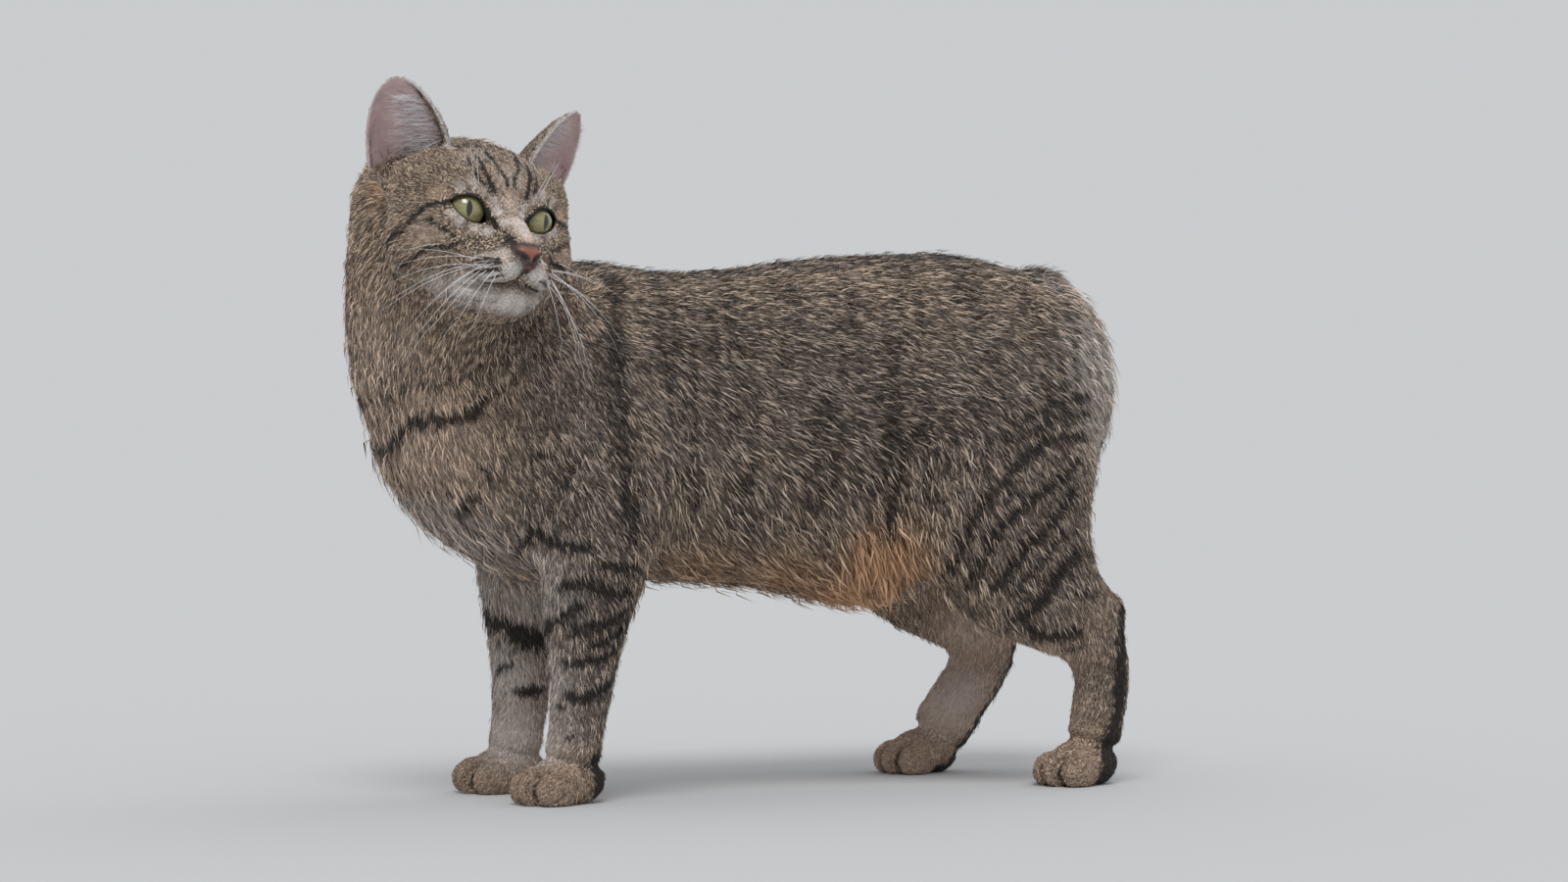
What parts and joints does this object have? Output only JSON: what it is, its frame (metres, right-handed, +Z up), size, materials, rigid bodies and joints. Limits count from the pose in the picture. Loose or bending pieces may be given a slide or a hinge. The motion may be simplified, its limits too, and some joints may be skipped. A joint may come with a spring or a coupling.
{
  "type": "manx cat",
  "caption": "Life-size standing tailless short-haired cat with its head turned to its left, as a still museum-style model with no moving parts.",
  "frame": {"origin": "on the floor, under the middle of the standing cat's bounding box", "axes": "-X is the way the body faces, +X runs back along it to the rump, -Y is the cat's left side, to which its head is turned, and +Z is up"},
  "size_m": [0.4198, 0.1856, 0.3511],
  "materials": {
    "coat": "short, dense, ticked brown tabby fur lying flat along the body",
    "ear": "very short fur outside, bare pinkish skin with pale hairs inside",
    "paw": "very short tan fur over black pads",
    "eye": "wet, glossy, yellow-green iris with a narrow upright pupil",
    "nose": "bare brick-red leather with a dark rim, slightly moist"
  },
  "bodies": {
    "root": {"head": "coat", "neck": "coat", "torso": "coat", "ear_l": "ear", "ear_r": "ear", "eye_l": "eye", "eye_r": "eye", "nose": "nose", "shoulder_l": "coat", "shoulder_r": "coat", "foreleg_l": "coat", "foreleg_r": "coat", "forepaw_l": "paw", "forepaw_r": "paw", "thigh_l": "coat", "thigh_r": "coat", "shank_l": "coat", "shank_r": "coat", "hindfoot_l": "coat", "hindfoot_r": "coat", "hindpaw_l": "paw", "hindpaw_r": "paw"}
  },
  "joints": []
}
